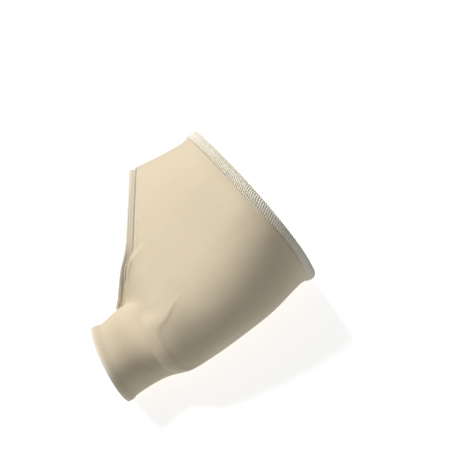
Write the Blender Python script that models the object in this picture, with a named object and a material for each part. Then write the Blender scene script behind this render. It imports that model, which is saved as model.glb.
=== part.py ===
"""Big toe comfort pad: a stretch knit sleeve with an oval gel pad over the big toe joint.

The sleeve keeps its worn form, for the right side. The origin is on the inner face of the sole
under the ball. +X is the big toe side, -Y points ahead along the toes and +Z is up.
"""
import math
from collections import namedtuple

import bmesh
import bpy
import numpy as np

for item in list(bpy.data.objects):
    bpy.data.objects.remove(item)

# Sizes of the worn form, which is the inner face of the sleeve, in metres
BALL_WIDTH = 0.0930
INSTEP_HEIGHT = 0.0555
TOE_WIDTH = 0.0290
TOE_HEIGHT = 0.0245
TOE_CENTRE = 0.0262

# Stations of the edges, measured from the ball
CUFF_AHEAD = 0.0359
WEB_AHEAD = 0.0215
HEM_BEHIND = 0.0447
LATERAL_LENGTH = 0.0325

# How the edges lean: metres of station for each metre of height, or of width
CUFF_LEAN = -0.21
CUFF_SKEW = -0.16
HEM_LEAN = -0.21
HEM_SKEW = 0.06
LINE_LEAN = 0.31
LINE_LEAN_RUN = 0.0120

# How far the edges flare from the worn form, and over what length
CUFF_FLARE = 0.0007
CUFF_FLARE_RUN = 0.004
HEM_FLARE = 0.0012
HEM_FLARE_RUN = 0.007

# Fabric
WALL = 0.0012
GAP = 0.0003
PAD_CLEARANCE = 0.0005
CROTCH_SPREAD = 0.009
CROTCH_LENGTH = 0.012
WEB_CLEARANCE = 0.0022
WEB_CLEARANCE_RUN = 0.008
VALLEY_ANGLE = math.radians(101)

# Hems
HEM_WIDTH = 0.0034
HEM_THICKNESS = 0.0020
HEM_SHOULDER = 0.5
ROLL_WIDTH = 0.0014
ROLL_THICKNESS = 0.0019

# Gel pad
PAD_LENGTH = 0.0555
PAD_WIDTH = 0.050
PAD_THICKNESS = 0.0030
PAD_EDGE = 0.0007
PAD_FRONT_FROM = 0.35
PAD_FRONT_EDGE = 0.0021
PAD_SQUARENESS = 2.5
PAD_BEHIND = 0.0123
PAD_RISE = 0.0155
PAD_SHOULDER = 0.001
PAD_TENT = 0.014
PAD_FRONT_TENT = 0.004
PAD_STEP = 0.01

# Mesh density
TOE_COLUMNS = 36
REST_COLUMNS = 38
BODY_ROWS = 24
TOE_ROWS = 6
PAD_RINGS = 9
PAD_SPOKES = 36
HEM_ARC_POINTS = 6
ROLL_SIDES = 8
EASE_COLUMNS = 4
SMOOTH_ROUNDS = 6
FINE_POINTS = 400
SOLVE_ROUNDS = 20

# One row for each cross-section of the worn form. Stations are shares of WEB_AHEAD ahead of the
# ball and of HEM_BEHIND behind it. Sides and crest are shares of BALL_WIDTH, heights of
# INSTEP_HEIGHT. The last three columns say how square each quarter is, 2 being an ellipse.
Section = namedtuple(
    "Section",
    "station medial lateral medial_z lateral_z crest top sole round_medial round_lateral round_sole",
)
SECTIONS = (
    Section(-1.10, 0.456, -0.481, 0.252, 0.180, 0.226, 0.486, 0.018, 2.1, 1.80, 2.6),
    Section(-0.45, 0.472, -0.517, 0.275, 0.189, 0.222, 0.589, 0.005, 1.9, 1.80, 2.8),
    Section(0.00, 0.473, -0.548, 0.325, 0.198, 0.220, 0.622, 0.002, 1.78, 1.80, 2.8),
    Section(0.34, 0.466, -0.537, 0.370, 0.216, 0.198, 0.717, 0.012, 1.75, 1.80, 2.6),
    Section(0.67, 0.450, -0.497, 0.400, 0.234, 0.165, 0.872, 0.022, 1.78, 1.80, 2.4),
    Section(1.00, 0.403, -0.465, 0.455, 0.261, 0.140, 0.994, 0.028, 1.9, 1.85, 2.6),
    Section(1.34, 0.378, -0.435, 0.503, 0.297, 0.105, 1.111, 0.070, 2.0, 1.90, 2.4),
)

# One row for each cross-section of the toe tube. Stations are shares of CUFF_AHEAD, centre_x is
# a share of TOE_CENTRE, half widths are shares of TOE_WIDTH and heights of TOE_HEIGHT.
ToeSection = namedtuple("ToeSection", "station centre_x centre_z half_width half_height roundness")
TOE_SECTIONS = (
    ToeSection(-1.12, 1.02, 0.529, 0.545, 0.500, 2.3),
    ToeSection(-0.92, 1.03, 0.530, 0.480, 0.510, 2.3),
    ToeSection(-0.67, 0.96, 0.500, 0.525, 0.460, 2.3),
    ToeSection(-0.28, 1.02, 0.605, 0.560, 0.555, 2.3),
    ToeSection(0.00, 1.11, 0.590, 0.565, 0.590, 2.3),
)


def smooth_step(value):
    """0 below 0, 1 above 1, with level ends."""
    value = np.clip(value, 0.0, 1.0)
    return value * value * (3.0 - 2.0 * value)


def table_at(table, scales, station):
    """The columns of a table in metres, on a smooth curve through its rows."""
    rows = np.array(table, float) * np.array(scales(table), float)
    stations = rows[:, 0]
    slopes = np.gradient(rows, stations, axis=0)
    row = np.clip(np.searchsorted(stations, station) - 1, 0, len(stations) - 2)
    step = stations[row + 1] - stations[row]
    t = ((station - stations[row]) / step)[..., None]
    step = step[..., None]
    start = (2 * t**3 - 3 * t**2 + 1) * rows[row] + (t**3 - 2 * t**2 + t) * step * slopes[row]
    end = (3 * t**2 - 2 * t**3) * rows[row + 1] + (t**3 - t**2) * step * slopes[row + 1]
    return np.moveaxis(start + end, -1, 0)


def section_scales(table):
    width, height = BALL_WIDTH, INSTEP_HEIGHT
    return [
        (WEB_AHEAD if row.station < 0 else HEM_BEHIND,)
        + (width, width, height, height, width, height, height, 1, 1, 1)
        for row in table
    ]


def toe_scales(table):
    return [(CUFF_AHEAD, TOE_CENTRE, TOE_HEIGHT, TOE_WIDTH, TOE_HEIGHT, 1) for _ in table]


def round_corner(angle, roundness):
    """A point of the unit superellipse, for an angle from +X."""
    cosine, sine = np.cos(angle), np.sin(angle)
    radius = (np.abs(cosine) ** roundness + np.abs(sine) ** roundness) ** (-1.0 / roundness)
    return radius * cosine, radius * sine


def body_ring(station, angle):
    """A point of the worn form behind the toes, its angle seen from the crest line."""
    section = Section(*table_at(SECTIONS, section_scales, station))
    upper = np.where(np.cos(angle) > 0, section.round_medial, section.round_lateral)
    across, up = round_corner(angle, np.where(np.sin(angle) < 0, section.round_sole, upper))
    reach = np.where(across > 0, section.medial - section.crest, section.crest - section.lateral)
    widest = section.medial_z + (section.lateral_z - section.medial_z) * (1 - across) / 2
    rise = np.where(up > 0, section.top - widest, widest - section.sole)
    return np.stack([section.crest + across * reach, station + 0 * across, widest + up * rise], -1)


def toe_ring(station, angle):
    """A point of the toe tube's worn form, its angle seen from the tube's middle."""
    section = ToeSection(*table_at(TOE_SECTIONS, toe_scales, station))
    across, up = round_corner(angle, section.roundness)
    return np.stack(
        [
            section.centre_x + across * section.half_width,
            station + 0 * across,
            section.centre_z + up * section.half_height,
        ],
        -1,
    )


def body_share(station):
    """How far a station behind the web has turned from the toe tube's form to the body's."""
    return smooth_step((station + WEB_AHEAD) / CROTCH_LENGTH)[..., None]


def toe_side(station, share):
    """The half under and over the big toe, from the upper valley, 0, to the lower one, 1."""
    turn = 1.0 - 2.0 * share
    body = body_share(station)
    toe = toe_ring(station, math.pi * turn)
    return (1 - body) * toe + body * body_ring(station, VALLEY_ANGLE * turn)


def rest_side(station, share):
    """The half round the other toes, from the upper valley, 0, to the lower one, 1."""
    angle = VALLEY_ANGLE + (2 * math.pi - 2 * VALLEY_ANGLE) * share
    point = body_ring(station, angle)
    web = toe_ring(station, math.pi + 0 * share)
    pull = 0.0
    for valley_angle, half in ((VALLEY_ANGLE, share < 0.5), (-VALLEY_ANGLE, share >= 0.5)):
        valley = body_ring(station, valley_angle + 0 * share)
        reach = np.linalg.norm(point - valley, axis=-1)
        weight = (1 - smooth_step(reach / CROTCH_SPREAD)) * half
        pull = pull + (web - valley) * weight[..., None]
    return point + (1 - body_share(station)) * pull


def edge_stations(side, shares, edge_at, start):
    """The station of each column where the worn form meets a slanted edge."""
    station = np.full(len(shares), float(start))
    for _ in range(SOLVE_ROUNDS):
        station = 0.5 * (station + edge_at(side(station, shares)))
    return station


def cuff_edge(point):
    middle = toe_ring(np.array(-CUFF_AHEAD), np.array(math.pi / 2))
    lean = CUFF_LEAN * (point[..., 2] - middle[2] + TOE_HEIGHT / 2)
    return -CUFF_AHEAD + lean + CUFF_SKEW * (point[..., 0] - TOE_CENTRE)


def hem_edge(point):
    return HEM_BEHIND + HEM_LEAN * (point[..., 2] - INSTEP_HEIGHT / 2) + HEM_SKEW * point[..., 0]


def line_edge(point):
    """The toe line runs from the web over to the lateral border, where LATERAL_LENGTH is left."""
    web = toe_ring(np.array(-WEB_AHEAD), np.array(math.pi))
    border = body_ring(np.array(HEM_BEHIND / 2), np.array(math.pi))
    slope = (HEM_BEHIND + WEB_AHEAD - LATERAL_LENGTH) / (web[0] - border[0])
    across = np.maximum(web[0] - point[..., 0], 0.0)
    height = np.maximum(point[..., 2] - web[2], 0.0)
    lean = LINE_LEAN * height * smooth_step(across / LINE_LEAN_RUN)
    return -WEB_AHEAD + slope * across + lean


def even_shares(count):
    """Shares of the rest side that lie evenly along the toe line."""
    fine = np.linspace(0, 1, FINE_POINTS)
    points = rest_side(edge_stations(rest_side, fine, line_edge, 0.0), fine)
    run = np.concatenate([[0], np.cumsum(np.linalg.norm(np.diff(points, axis=0), axis=1))])
    return np.interp(np.linspace(0, run[-1], count), run, fine)


def side_grid(side, shares, first, last, rows):
    """Rows of points from the first stations to the last, one column for each share."""
    along = np.linspace(0, 1, rows)[:, None]
    stations = first + (last - first) * along
    return side(stations, np.broadcast_to(shares, stations.shape))


def toe_side_girth():
    """Half the toe side's length round the ball."""
    return (BALL_WIDTH / 2 + INSTEP_HEIGHT) * VALLEY_ANGLE / math.pi


def pad_reach(along, around):
    """The share of the way from the pad's middle to its edge, and how far forward that lies."""
    long_way = np.abs(along) / (PAD_LENGTH / 2)
    short_way = np.abs(around) / (PAD_WIDTH / 2)
    reach = (long_way**PAD_SQUARENESS + short_way**PAD_SQUARENESS) ** (1 / PAD_SQUARENESS)
    ahead = -along / (PAD_LENGTH / 2) / np.maximum(reach, GAP)
    forward = smooth_step((ahead - PAD_FRONT_FROM) / (1 - PAD_FRONT_FROM))
    return reach, forward


def pad_height(reach, forward):
    """The pad's thickness: domed, with a thicker edge in front."""
    edge = PAD_EDGE + (PAD_FRONT_EDGE - PAD_EDGE) * forward
    return edge + (PAD_THICKNESS - edge) * np.clip(1 - reach**2, 0, 1)


def pad_lift(share, station):
    """How far the sleeve stands off the worn form over and round the pad."""
    around = (1 - 2 * share) * toe_side_girth() - PAD_RISE
    reach, forward = pad_reach(station - PAD_BEHIND, around)
    tent = PAD_TENT + (PAD_FRONT_TENT - PAD_TENT) * forward
    beyond = np.clip(((reach - 1) * PAD_WIDTH / 2 - PAD_SHOULDER * forward) / tent, 0, 1)
    height = pad_height(np.minimum(reach, 1), forward) + PAD_CLEARANCE
    ridge = 1 - smooth_step(beyond)
    return height * (forward * ridge + (1 - forward) * (1 - beyond) ** 2)


def flare(distance, rise, run):
    """How far an edge stands off the worn form at a distance from its end."""
    return rise * smooth_step(1 - distance / run)


def ring_normals(rings):
    """Outward directions of a grid whose rows are closed rings."""
    around = np.roll(rings, -1, axis=1) - np.roll(rings, 1, axis=1)
    along = np.gradient(rings, axis=0)
    normals = np.cross(around, along)
    return normals / np.linalg.norm(normals, axis=-1, keepdims=True)


def body_rings(first_toe, first_rest, last_toe, last_rest, rows):
    """Closed rings round both sides: the toe side's columns, then the rest's backwards."""
    toe = side_grid(toe_side, TOE_SHARES, first_toe, last_toe, rows)
    rest = side_grid(rest_side, REST_SHARES, first_rest, last_rest, rows)
    return np.concatenate([toe, rest[:, ::-1][:, 1:-1]], axis=1)


TOE_SHARES = np.linspace(0, 1, TOE_COLUMNS + 1)
REST_SHARES = even_shares(REST_COLUMNS + 1)
HEM_TOE = edge_stations(toe_side, TOE_SHARES, hem_edge, HEM_BEHIND)
HEM_REST = edge_stations(rest_side, REST_SHARES, hem_edge, HEM_BEHIND)
CUFF = edge_stations(toe_side, TOE_SHARES, cuff_edge, -CUFF_AHEAD)
LINE = edge_stations(rest_side, REST_SHARES, line_edge, 0.0)
LINE[0] = LINE[-1] = -WEB_AHEAD


def new_object(name, mesh, colour, roughness):
    """One object with its own material, shaded smooth except at sharp edges."""
    material = bpy.data.materials.new(name)
    material.use_nodes = True
    shader = material.node_tree.nodes["Principled BSDF"]
    shader.inputs["Base Color"].default_value = (*colour, 1.0)
    shader.inputs["Roughness"].default_value = roughness
    shader.inputs["Metallic"].default_value = 0.0
    mesh.materials.append(material)
    mesh.shade_smooth()
    mesh.set_sharp_from_angle(angle=math.radians(50))
    item = bpy.data.objects.new(name, mesh)
    bpy.context.scene.collection.objects.link(item)
    return item


def bridge(bm, first, second):
    """Quads between two closed rings of as many vertices."""
    count = len(first)
    for k in range(count):
        after = (k + 1) % count
        bm.faces.new((first[k], first[after], second[after], second[k]))


def make_sleeve():
    """The knit sleeve: the toe tube and the body as one wall, lifted over the pad."""
    tube = side_grid(toe_side, TOE_SHARES, CUFF, -WEB_AHEAD + 0 * CUFF, TOE_ROWS)
    edge = HEM_WIDTH + GAP
    rings = body_rings(-WEB_AHEAD + 0 * HEM_TOE, LINE, HEM_TOE - edge, HEM_REST - edge, BODY_ROWS)
    toe_count = len(TOE_SHARES)

    bm = bmesh.new()
    lift = bm.verts.layers.float.new("lift")
    tube_rings = [[bm.verts.new(p) for p in row[:-1]] for row in tube]
    web_ring = tube_rings[-1]
    web = web_ring[0]
    line_verts = [bm.verts.new(p) for p in rings[0][toe_count:]]
    first = web_ring + [web] + line_verts
    body = [first] + [[bm.verts.new(p) for p in row] for row in rings[1:]]
    hem = np.concatenate([HEM_TOE, HEM_REST[::-1][1:-1]])
    for row in body[1:]:
        for vert, end in zip(row, hem):
            vert[lift] = float(flare(end - vert.co.y, HEM_FLARE, HEM_FLARE_RUN))
        for vert, share in zip(row, TOE_SHARES):
            vert[lift] += float(pad_lift(share, vert.co.y))
    for row in tube_rings:
        for vert, share, end in zip(row, TOE_SHARES, CUFF):
            rise = flare(vert.co.y - end, CUFF_FLARE, CUFF_FLARE_RUN)
            vert[lift] = float(pad_lift(share, vert.co.y) + rise)
    for upper, lower in zip(tube_rings, tube_rings[1:]):
        bridge(bm, upper, lower)
    for upper, lower in zip(body, body[1:]):
        bridge(bm, upper, lower)

    ease_crotch(bm, body, toe_count)
    bm.normal_update()
    places = {vert: vert.co + vert.normal * vert[lift] for vert in bm.verts}
    for vert, place in places.items():
        vert.co = place
    mesh = bpy.data.meshes.new("sleeve")
    bm.to_mesh(mesh)
    bm.free()
    sleeve = new_object("sleeve", mesh, (0.76, 0.68, 0.55), 0.85)
    wall = sleeve.modifiers.new("Wall", "SOLIDIFY")
    wall.thickness = WALL
    wall.offset = 1.0
    wall.use_rim = True
    return sleeve


def ease_crotch(bm, body, toe_count):
    """Rounds the two valleys behind the web, where stretched fabric bridges the corner."""
    near = EASE_COLUMNS
    columns = set(range(near)) | set(range(toe_count - near, toe_count + near))
    columns |= set(range(len(body[0]) - near, len(body[0])))
    moved = [row[k] for row in body[1:-1] for k in sorted(columns)]
    for _ in range(SMOOTH_ROUNDS):
        bmesh.ops.smooth_vert(
            bm, verts=moved, factor=0.5, use_axis_x=True, use_axis_y=True, use_axis_z=True
        )


def loft_rings(name, sections):
    """A closed tube through sections that follow each other round a loop."""
    bm = bmesh.new()
    rings = [[bm.verts.new(p) for p in section] for section in sections]
    for k, ring in enumerate(rings):
        bridge(bm, ring, rings[(k + 1) % len(rings)])
    bmesh.ops.recalc_face_normals(bm, faces=bm.faces)
    mesh = bpy.data.meshes.new(name)
    bm.to_mesh(mesh)
    bm.free()
    return mesh


def make_instep_hem():
    """The overlocked band at the instep: flat inside, rounded outside."""
    rings = body_rings(HEM_TOE - HEM_WIDTH, HEM_REST - HEM_WIDTH, HEM_TOE, HEM_REST, 3)
    normals = ring_normals(rings)[1]
    front = rings[0] + normals * flare(HEM_WIDTH, HEM_FLARE, HEM_FLARE_RUN)
    back = rings[-1] + normals * flare(0.0, HEM_FLARE, HEM_FLARE_RUN)
    shoulder = HEM_SHOULDER * HEM_THICKNESS
    profile = [(0.0, 0.0), (1.0, 0.0)]
    for angle in np.linspace(0, math.pi, HEM_ARC_POINTS):
        height = shoulder + (HEM_THICKNESS - shoulder) * math.sin(angle)
        profile.append(((1 + math.cos(angle)) / 2, height))
    sections = [
        [start + (end - start) * share + out * height for share, height in profile]
        for start, end, out in zip(front, back, normals)
    ]
    return new_object("instep_hem", loft_rings("instep_hem", sections), (0.80, 0.75, 0.62), 0.8)


def make_toe_line_hem():
    """The rolled hem that edges the opening for the other toes, all the way round."""
    rest = side_grid(rest_side, REST_SHARES, LINE, HEM_REST, BODY_ROWS)
    line, behind = rest[0, :-1], rest[1, :-1]
    ahead = line - behind
    ahead[0] = 0
    ahead = ahead / np.maximum(np.linalg.norm(ahead, axis=1, keepdims=True), GAP)
    tangent = np.roll(line, -1, axis=0) - np.roll(line, 1, axis=0)
    tangent = tangent / np.linalg.norm(tangent, axis=1, keepdims=True)
    # At the web the roll lies inside the corner, clear of the toe tube's wall.
    corner = (line[1] + line[-1]) / 2 - line[0]
    ahead[0] = corner / np.linalg.norm(corner)
    ahead = ahead - tangent * np.sum(ahead * tangent, axis=1, keepdims=True)
    ahead = ahead / np.linalg.norm(ahead, axis=1, keepdims=True)
    out = np.cross(tangent, ahead)
    from_web = np.linalg.norm(line - line[0], axis=1)
    offset = GAP + ROLL_WIDTH / 2 + WEB_CLEARANCE * (1 - smooth_step(from_web / WEB_CLEARANCE_RUN))
    height = np.full(len(line), ROLL_THICKNESS / 2)
    height[0] = 0
    centre = line + ahead * offset[:, None] + out * height[:, None]
    sections = []
    for middle, across, up in zip(centre, ahead, out):
        turns = [2 * math.pi * k / ROLL_SIDES for k in range(ROLL_SIDES)]
        sections.append(
            [
                middle
                + across * (ROLL_WIDTH / 2 * math.cos(turn))
                + up * (ROLL_THICKNESS / 2 * math.sin(turn))
                for turn in turns
            ]
        )
    mesh = loft_rings("toe_line_hem", sections)
    return new_object("toe_line_hem", mesh, (0.83, 0.76, 0.66), 0.8)


def pad_point(turn, share_of_reach, inside):
    """A point of the pad's outer or inner face, on a spoke from its middle."""
    cosine, sine = math.cos(turn), math.sin(turn)
    squareness = PAD_SQUARENESS
    spoke = (abs(cosine) ** squareness + abs(sine) ** squareness) ** (-1 / squareness)
    along = share_of_reach * spoke * cosine * PAD_LENGTH / 2
    around = share_of_reach * spoke * sine * PAD_WIDTH / 2
    station = PAD_BEHIND + along
    share = (1 - (around + PAD_RISE) / toe_side_girth()) / 2
    at = [
        toe_side(np.array(station + ds), np.array(share + dt))
        for ds, dt in ((0, 0), (GAP, 0), (-GAP, 0), (0, PAD_STEP), (0, -PAD_STEP))
    ]
    out = np.cross(at[3] - at[4], at[1] - at[2])
    height = 0.0 if inside else float(pad_height(*pad_reach(along, around)))
    return at[0] + out / np.linalg.norm(out) * height


def make_gel_pad():
    """The oval silicone pad, domed outside and shaped to the joint inside."""
    bm = bmesh.new()
    turns = [2 * math.pi * k / PAD_SPOKES for k in range(PAD_SPOKES)]
    edges = []
    for inside in (False, True):
        middle = bm.verts.new(pad_point(0.0, 0.0, inside))
        rings = [
            [bm.verts.new(pad_point(turn, k / PAD_RINGS, inside)) for turn in turns]
            for k in range(1, PAD_RINGS + 1)
        ]
        for k in range(PAD_SPOKES):
            bm.faces.new((middle, rings[0][k], rings[0][(k + 1) % PAD_SPOKES]))
        for inner_ring, outer_ring in zip(rings, rings[1:]):
            bridge(bm, inner_ring, outer_ring)
        edges.append(rings[-1])
    bridge(bm, *edges)
    bmesh.ops.recalc_face_normals(bm, faces=bm.faces)
    mesh = bpy.data.meshes.new("gel_pad")
    bm.to_mesh(mesh)
    bm.free()
    return new_object("gel_pad", mesh, (0.85, 0.83, 0.76), 0.35)


make_sleeve()
make_instep_hem()
make_toe_line_hem()
make_gel_pad()
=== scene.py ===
"""Looks of the big toe comfort pad: stretch knit, overlocked and rolled hems and a gel pad.

Lengths are in metres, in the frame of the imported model: +X is the big toe side, -Y points ahead
along the toes and +Z is up.
"""

import math
from collections import namedtuple

import bpy
import numpy as np
from mathutils import Matrix, Vector


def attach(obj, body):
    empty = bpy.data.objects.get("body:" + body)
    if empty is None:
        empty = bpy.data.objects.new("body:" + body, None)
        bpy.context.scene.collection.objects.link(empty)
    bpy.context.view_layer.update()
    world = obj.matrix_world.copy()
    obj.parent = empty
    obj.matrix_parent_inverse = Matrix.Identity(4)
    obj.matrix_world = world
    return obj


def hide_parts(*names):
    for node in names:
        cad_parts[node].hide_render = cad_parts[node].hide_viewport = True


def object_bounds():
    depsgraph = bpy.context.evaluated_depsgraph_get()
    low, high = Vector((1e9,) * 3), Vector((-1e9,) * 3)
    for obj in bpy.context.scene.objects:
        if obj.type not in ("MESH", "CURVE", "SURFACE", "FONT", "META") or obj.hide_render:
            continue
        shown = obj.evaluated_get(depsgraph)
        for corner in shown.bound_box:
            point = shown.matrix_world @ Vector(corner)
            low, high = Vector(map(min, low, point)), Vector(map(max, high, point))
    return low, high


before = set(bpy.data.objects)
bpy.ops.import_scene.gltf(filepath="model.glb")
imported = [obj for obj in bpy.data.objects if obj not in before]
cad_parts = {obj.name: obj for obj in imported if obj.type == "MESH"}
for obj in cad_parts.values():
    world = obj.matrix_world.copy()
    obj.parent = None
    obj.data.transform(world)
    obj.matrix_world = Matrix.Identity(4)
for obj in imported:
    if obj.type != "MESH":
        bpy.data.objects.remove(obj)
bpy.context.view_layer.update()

# Sizes of the worn form, which is the inner face of the sleeve
BALL_WIDTH = 0.0930
INSTEP_HEIGHT = 0.0555
TOE_WIDTH = 0.0290
TOE_HEIGHT = 0.0245
TOE_CENTRE = 0.0262

# Stations of the edges, measured from the ball
CUFF_AHEAD = 0.0359
WEB_AHEAD = 0.0215
HEM_BEHIND = 0.0447
LATERAL_LENGTH = 0.0325

# How the edges lean: metres of station for each metre of height, or of width
CUFF_LEAN = -0.21
CUFF_SKEW = -0.16
HEM_LEAN = -0.21
HEM_SKEW = 0.06
LINE_LEAN = 0.31
LINE_LEAN_RUN = 0.0120

# How far the edges flare from the worn form, and over what length
CUFF_FLARE = 0.0007
CUFF_FLARE_RUN = 0.004
HEM_FLARE = 0.0012
HEM_FLARE_RUN = 0.007

# Fabric
WALL = 0.0012
CUT_EDGE = 0.0008
CUT_EDGE_RUN = 0.0016
# Reach of the painted highlight along the cuff's cut edge
HIGHLIGHT_EDGE_RUN = 0.0009
CROTCH_SPREAD = 0.009
CROTCH_LENGTH = 0.012
WEB_CLEARANCE = 0.0016
WEB_CLEARANCE_RUN = 0.008
VALLEY_ANGLE = math.radians(101)
TAUT_FROM = 0.007
TAUT_TO = 0.018
TAUT_FADE = 0.012
TAUT_DEPTH = 0.012
TAUT_ROUNDS = 60

# Hems
HEM_WIDTH = 0.0034
HEM_THICKNESS = 0.0020
HEM_SHOULDER = 0.5
ROLL_WIDTH = 0.0014
ROLL_THICKNESS = 0.0019
TUCK = 0.0005

# Gel pad
PAD_LENGTH = 0.0555
PAD_WIDTH = 0.050
PAD_THICKNESS = 0.0030
PAD_EDGE = 0.0007
PAD_FRONT_FROM = 0.35
PAD_FRONT_EDGE = 0.0021
PAD_SQUARENESS = 2.5
PAD_CLEARANCE = 0.0005
PAD_BEHIND = 0.0123
PAD_RISE = 0.0155
PAD_SHOULDER = 0.001
PAD_TENT = 0.014
PAD_FRONT_TENT = 0.004

# Mesh density
TOE_COLUMNS = 132
REST_COLUMNS = 140
TUBE_ROWS = 36
EDGE_ROWS = 16
EDGE_SHARE = 0.10
BODY_ROWS = 82
EASE_COLUMNS = 16
EASE_ROUNDS = 90
PAD_RINGS = 28
PAD_SPOKES = 120
SOLVE_ROUNDS = 20
FINE_POINTS = 400
NEAR_ROWS = EDGE_ROWS + 12
DISTANCE_BLOCKS = 24
WEB_SPAN = 4
WAY_ROUNDS = 6
CUFF_RIM_STEPS = 6
TINY = 1e-9

Section = namedtuple(
    "Section",
    "station medial lateral medial_z lateral_z crest top sole round_medial round_lateral round_sole",
)
SECTIONS = (
    Section(-1.10, 0.456, -0.481, 0.252, 0.180, 0.226, 0.486, 0.018, 2.1, 1.80, 2.6),
    Section(-0.45, 0.472, -0.517, 0.275, 0.189, 0.222, 0.589, 0.005, 1.9, 1.80, 2.8),
    Section(0.00, 0.473, -0.548, 0.325, 0.198, 0.220, 0.622, 0.002, 1.78, 1.80, 2.8),
    Section(0.34, 0.466, -0.537, 0.370, 0.216, 0.198, 0.717, 0.012, 1.75, 1.80, 2.6),
    Section(0.67, 0.450, -0.497, 0.400, 0.234, 0.165, 0.872, 0.022, 1.78, 1.80, 2.4),
    Section(1.00, 0.403, -0.465, 0.455, 0.261, 0.140, 0.994, 0.028, 1.9, 1.85, 2.6),
    Section(1.34, 0.378, -0.435, 0.503, 0.297, 0.105, 1.111, 0.070, 2.0, 1.90, 2.4),
)
ToeSection = namedtuple("ToeSection", "station centre_x centre_z half_width half_height roundness")
TOE_SECTIONS = (
    ToeSection(-1.12, 1.02, 0.529, 0.545, 0.500, 2.3),
    ToeSection(-0.92, 1.03, 0.530, 0.480, 0.510, 2.3),
    ToeSection(-0.67, 0.96, 0.500, 0.525, 0.460, 2.3),
    ToeSection(-0.28, 1.02, 0.605, 0.560, 0.555, 2.3),
    ToeSection(0.00, 1.11, 0.590, 0.565, 0.590, 2.3),
)


# The worn form

def smooth_step(value):
    """0 below 0, 1 above 1, with level ends."""
    value = np.clip(value, 0.0, 1.0)
    return value * value * (3.0 - 2.0 * value)


def unit(vectors):
    return vectors / np.maximum(np.linalg.norm(vectors, axis=-1, keepdims=True), TINY)


def table_at(table, scales, station):
    """The columns of a table in metres, on a smooth curve through its rows."""
    rows = np.array(table, float) * np.array(scales(table), float)
    stations = rows[:, 0]
    slopes = np.gradient(rows, stations, axis=0)
    row = np.clip(np.searchsorted(stations, station) - 1, 0, len(stations) - 2)
    step = stations[row + 1] - stations[row]
    t = ((station - stations[row]) / step)[..., None]
    step = step[..., None]
    start = (2 * t**3 - 3 * t**2 + 1) * rows[row] + (t**3 - 2 * t**2 + t) * step * slopes[row]
    end = (3 * t**2 - 2 * t**3) * rows[row + 1] + (t**3 - t**2) * step * slopes[row + 1]
    return np.moveaxis(start + end, -1, 0)


def section_scales(table):
    width, height = BALL_WIDTH, INSTEP_HEIGHT
    return [
        (WEB_AHEAD if row.station < 0 else HEM_BEHIND,)
        + (width, width, height, height, width, height, height, 1, 1, 1)
        for row in table
    ]


def toe_scales(table):
    return [(CUFF_AHEAD, TOE_CENTRE, TOE_HEIGHT, TOE_WIDTH, TOE_HEIGHT, 1) for _ in table]


def round_corner(angle, roundness):
    """A point of the unit superellipse, for an angle from +X."""
    cosine, sine = np.cos(angle), np.sin(angle)
    radius = (np.abs(cosine) ** roundness + np.abs(sine) ** roundness) ** (-1.0 / roundness)
    return radius * cosine, radius * sine


def body_ring(station, angle):
    """A point of the worn form behind the toes, its angle seen from the crest line."""
    section = Section(*table_at(SECTIONS, section_scales, station))
    upper = np.where(np.cos(angle) > 0, section.round_medial, section.round_lateral)
    across, up = round_corner(angle, np.where(np.sin(angle) < 0, section.round_sole, upper))
    reach = np.where(across > 0, section.medial - section.crest, section.crest - section.lateral)
    widest = section.medial_z + (section.lateral_z - section.medial_z) * (1 - across) / 2
    rise = np.where(up > 0, section.top - widest, widest - section.sole)
    return np.stack([section.crest + across * reach, station + 0 * across, widest + up * rise], -1)


def toe_ring(station, angle):
    """A point of the toe tube's worn form, its angle seen from the tube's middle."""
    section = ToeSection(*table_at(TOE_SECTIONS, toe_scales, station))
    across, up = round_corner(angle, section.roundness)
    x = section.centre_x + across * section.half_width
    z = section.centre_z + up * section.half_height
    return np.stack([x, station + 0 * across, z], -1)


def body_share(station):
    """How far a station behind the web has turned from the toe tube's form to the body's."""
    return smooth_step((station + WEB_AHEAD) / CROTCH_LENGTH)[..., None]


def toe_side(station, share):
    """The half under and over the big toe, from the upper valley, 0, to the lower one, 1."""
    turn = 1.0 - 2.0 * share
    body = body_share(station)
    toe = toe_ring(station, math.pi * turn)
    return (1 - body) * toe + body * body_ring(station, VALLEY_ANGLE * turn)


def rest_side(station, share):
    """The half round the other toes, from the upper valley, 0, to the lower one, 1."""
    angle = VALLEY_ANGLE + (2 * math.pi - 2 * VALLEY_ANGLE) * share
    point = body_ring(station, angle)
    web = toe_ring(station, math.pi + 0 * share)
    pull = 0.0
    for valley_angle, half in ((VALLEY_ANGLE, share < 0.5), (-VALLEY_ANGLE, share >= 0.5)):
        valley = body_ring(station, valley_angle + 0 * share)
        reach = np.linalg.norm(point - valley, axis=-1)
        weight = (1 - smooth_step(reach / CROTCH_SPREAD)) * half
        pull = pull + (web - valley) * weight[..., None]
    return point + (1 - body_share(station)) * pull


def edge_stations(side, shares, edge_at, start):
    """The station of each column where the worn form meets a slanted edge."""
    station = np.full(len(shares), float(start))
    for _ in range(SOLVE_ROUNDS):
        station = 0.5 * (station + edge_at(side(station, shares)))
    return station


def cuff_edge(point):
    middle = toe_ring(np.array(-CUFF_AHEAD), np.array(math.pi / 2))
    lean = CUFF_LEAN * (point[..., 2] - middle[2] + TOE_HEIGHT / 2)
    return -CUFF_AHEAD + lean + CUFF_SKEW * (point[..., 0] - TOE_CENTRE)


def hem_edge(point):
    return HEM_BEHIND + HEM_LEAN * (point[..., 2] - INSTEP_HEIGHT / 2) + HEM_SKEW * point[..., 0]


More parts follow.
